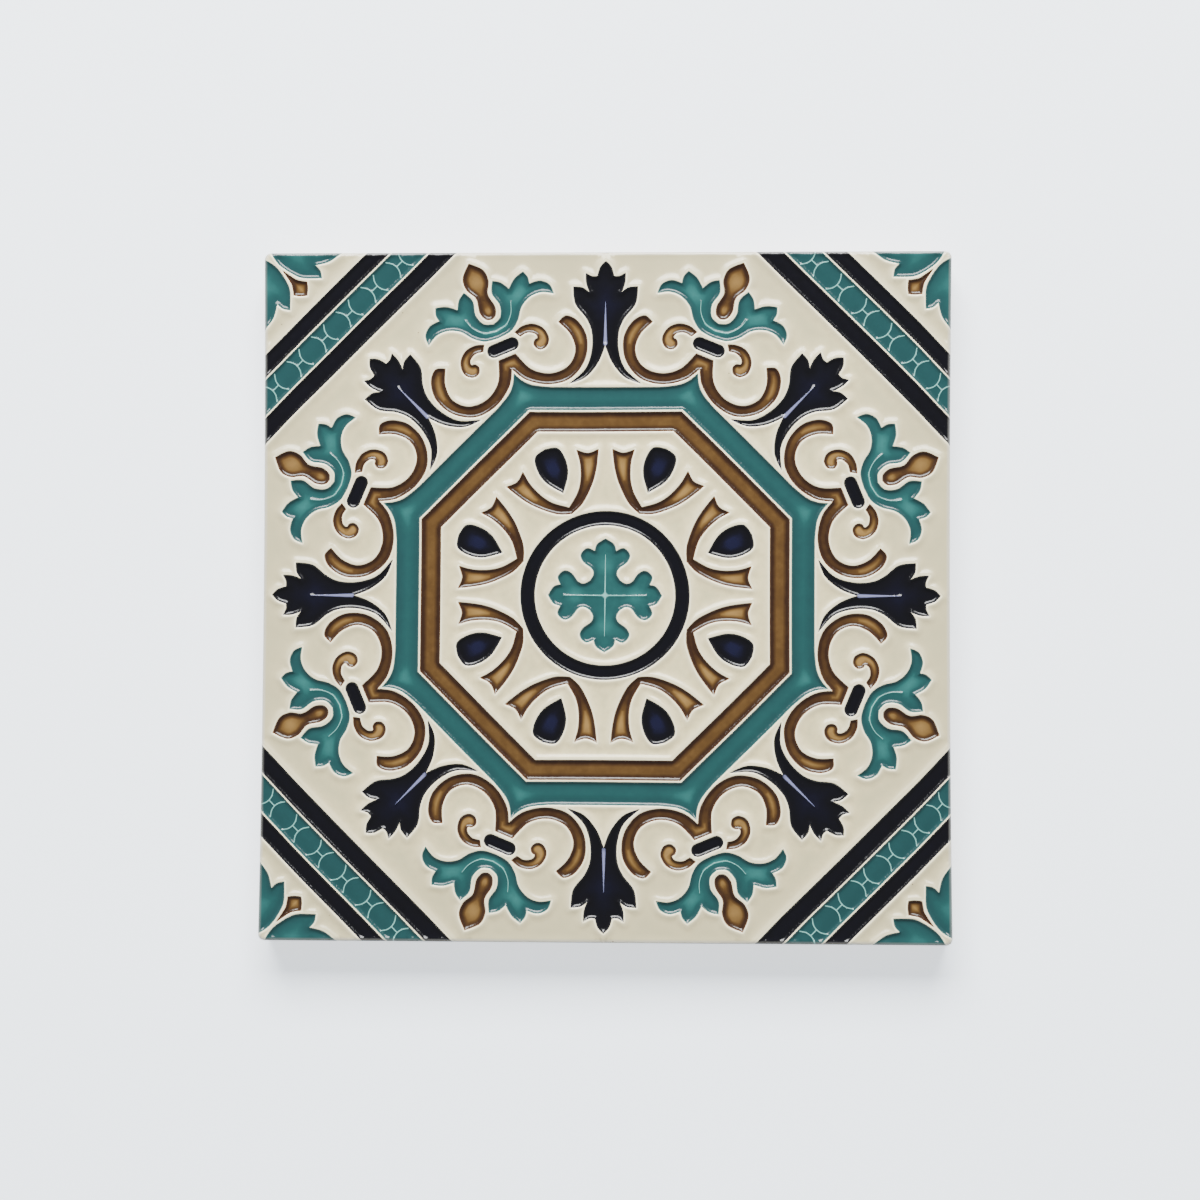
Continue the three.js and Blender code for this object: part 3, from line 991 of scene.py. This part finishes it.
def ivory():
    finish = Finish("Ivory tin glaze")
    from_edge = finish.attribute("from_edge")
    rim = finish.attribute("rim")
    lap = finish.attribute("lap")
    clouds = finish.noise(cloud_size, seed=1)
    mottle = finish.noise(mottle_size, seed=2)
    # Crests creamy where the glaze runs thin and brightened as a painted highlight, with a soft painted
    # highlight round them
    sharp_crest = 1 - finish.between(crest_fade, from_edge + swing(mottle, crest_swing))
    soft_painted_highlight = 1 - finish.between(painted_highlight_fade, from_edge + swing(mottle, painted_highlight_swing))
    crest = finish.maths("MAXIMUM", sharp_crest, soft_painted_highlight * painted_highlight_share)
    pooled = finish.between(pool_fade, from_edge + swing(clouds, pool_swing))
    # Painted shade, darker towards the tile's edges
    outer = 1 - finish.between(edge_shade_fade, rim + swing(clouds, edge_shade_swing))
    colour = finish.mix(pooled, ivory_plain, ivory_pooled)
    colour = finish.tinted(colour, finish.between(mottle_fade, mottle), ivory_mottled)
    colour = finish.tinted(colour, outer, ivory_edge_shade)
    colour = finish.mix(crest, colour, ivory_crest_and_highlight)
    colour = finish.tinted(colour, 1 - finish.between(arris_fade, rim), ivory_arris)
    specks = finish.dots(speck_pitch, speck_fade) * finish.between(speckled_clouds, clouds)
    colour = finish.tinted(colour, specks, iron_speck)
    colour = finish.tinted(colour, finish.between(lap_fade, lap + swing(mottle, lap_swing)), clay_showing)
    ripple = finish.noise(ivory_ripple, seed=3, detail=1)
    skin = ripple + finish.noise(ivory_grain, seed=4, detail=1) * grain_share
    roughness = ivory_gloss + mottle * ivory_dulling
    return finish.surface(colour, roughness, skin, ivory_skin_depth)


glaze_skin("ivory_glaze", "ivory", ivory())

# Coloured glazes
# Teal, honey brown and navy glaze, each brushed into its own wells. They are dark where they pool in
# the grooves at the walls, and light where they run thin over the floor's swell and the raised lines.
streak_size, drift_size, frost_size = 1.3 * mm, 5 * mm, 0.5 * mm
streak_reach, drift_reach = 0.22, 0.25
fringe_fade, fringe_strength = (0.03, 0.2), 0.55
line_fade = (0.0, 0.8)
worn_rim, wear_fade, unworn_lap = ((0.3, 0.3, 0.28), 0.4), (0.15, 0.8), (0.0, 0.3)
wall_fade, frost_fade = (0.4, 1.0), (0.44, 0.58)
coloured_gloss, streak_dulling, frost_dulling = 0.07, 0.08, 0.13
ripple_size, pucker_size = 1.8 * mm, 0.35 * mm
wall_pucker, floor_pucker = 0.6, 0.125
coloured_skin_depth = 0.04 * mm
coloured_refraction = 1.42

# Each glaze's colours where it pools, lies and runs thin, by share of thinness; on the raised lines;
# and at the ridges' crests
teal_depths = [(0, (0.0117, 0.046, 0.048)), (0.35, (0.0137, 0.0625, 0.0615)), (1, (0.030, 0.138, 0.129))]
teal_line, teal_crest = (0.17, 0.40, 0.36), (0.10, 0.26, 0.23)
honey_depths = [(0, (0.026, 0.0115, 0.006)), (0.35, (0.075, 0.039, 0.0125)), (1, (0.235, 0.14, 0.045))]
honey_line, honey_crest = (0.25, 0.15, 0.05), (0.25, 0.09, 0.025)
navy_depths = [(0, (0.003, 0.003, 0.0045)), (0.4, (0.0035, 0.0035, 0.008)), (0.9, (0.0065, 0.007, 0.023))]
navy_line, navy_crest = (0.17, 0.18, 0.32), (0.03, 0.028, 0.045)


def coloured(name, depths, line_colour, crest_colour, seed):
    finish = Finish(name)
    from_edge = finish.attribute("from_edge")
    streaks = finish.noise(streak_size, seed)
    drift = finish.noise(drift_size, seed + 1, detail=2)
    thinness = finish.attribute("thin") + swing(streaks, streak_reach) + swing(drift, drift_reach)
    colour = finish.node("ShaderNodeValToRGB", {"stops": depths}, {"Fac": thinness})
    fringe = 1 - finish.between(fringe_fade, from_edge)
    colour = finish.tinted(colour, fringe, (crest_colour, fringe_strength))
    colour = finish.mix(finish.between(line_fade, finish.attribute("line")), colour, line_colour)
    at_rim = 1 - finish.between(wear_fade, finish.attribute("rim"))
    above_lap = 1 - finish.between(unworn_lap, finish.attribute("lap"))
    colour = finish.tinted(colour, at_rim * above_lap, worn_rim)
    at_wall = 1 - finish.between(wall_fade, from_edge)
    frost = finish.between(frost_fade, finish.noise(frost_size, seed + 4, detail=1)) * at_wall
    roughness = streaks * streak_dulling + coloured_gloss + frost * frost_dulling
    puckers = finish.noise(pucker_size, seed + 3, detail=1) * (at_wall * wall_pucker + floor_pucker)
    skin = finish.noise(ripple_size, seed + 2, detail=1) + puckers
    return finish.surface(colour, roughness, skin, coloured_skin_depth, coloured_refraction)


glaze_skin("teal_glaze", "teal", coloured("Teal glaze", teal_depths, teal_line, teal_crest, 11))
glaze_skin("honey_glaze", "honey", coloured("Honey glaze", honey_depths, honey_line, honey_crest, 21))
glaze_skin("navy_glaze", "navy", coloured("Navy glaze", navy_depths, navy_line, navy_crest, 31))

# Floor, light and camera
# A plain pale floor under the tile, a large soft light at the tile's top side under a soft sky, and a
# camera that looks down on the face a little from its lower right.
floor_reach = 3
floor_colour, floor_roughness = (0.88, 0.94, 1.0), 0.8
floor_glow, floor_glow_strength = (0.88, 0.97, 1.06), 1.2
floor_corners = [(-1, -1), (1, -1), (1, 1), (-1, 1)]
floor_mesh = bpy.data.meshes.new("floor")
floor_mesh.from_pydata([(x * floor_reach, y * floor_reach, low[2]) for x, y in floor_corners], [],
                       [(0, 1, 2, 3)])
floor = bpy.data.objects.new("floor", floor_mesh)
bpy.context.scene.collection.objects.link(floor)
floor_mesh.materials.append(Finish("Pale floor").painted(
    {"Base Color": floor_colour, "Roughness": floor_roughness,
     "Emission Color": floor_glow, "Emission Strength": floor_glow_strength}))

sky_stops = [(0.1, (1.6, 1.65, 1.7)), (0.4, (0.3, 0.3, 0.3))]
world = bpy.data.worlds.new("Studio")
bpy.context.scene.world = world
world.use_nodes = True
sky = world.node_tree
direction = add_node(sky, "ShaderNodeTexCoord")
split = add_node(sky, "ShaderNodeSeparateXYZ", None, {"Vector": direction.outputs["Generated"]})
rise = add_node(sky, "ShaderNodeValToRGB", {"stops": sky_stops}, {"Fac": split.outputs["Z"]})
sky.links.new(rise.outputs["Color"], sky.nodes["Background"].inputs["Color"])

light_place = Vector((-0.04, 0.95, 0.95))
light = bpy.data.lights.new("top light", "AREA")
light.shape = "RECTANGLE"
light.size, light.size_y = 1.05, 0.7
light.energy = 66
lamp = bpy.data.objects.new("top light", light)
lamp.location = light_place
lamp.rotation_euler = (-light_place).to_track_quat("-Z", "Y").to_euler()
lamp.visible_camera = False
bpy.context.scene.collection.objects.link(lamp)

camera_aim = Vector((-1.0 * mm, -1.0 * mm, face_top))
camera_distance = 0.6
tilt_right, tilt_down, roll = math.radians(2.6), math.radians(2.6), math.radians(-0.25)
view = Vector((math.sin(tilt_right), -math.sin(tilt_down), 0))
view.z = math.sqrt(1 - view.x**2 - view.y**2)
upright = Vector((math.sin(roll), math.cos(roll), 0))
right = upright.cross(view).normalized()
facing = Matrix((right, view.cross(right), view)).transposed().to_4x4()
camera_data = bpy.data.cameras.new("camera")
camera_data.lens = 83.1
camera_data.sensor_width = 36
camera = bpy.data.objects.new("camera", camera_data)
camera.matrix_world = Matrix.Translation(camera_aim + camera_distance * view) @ facing
bpy.context.scene.collection.objects.link(camera)
bpy.context.scene.camera = camera
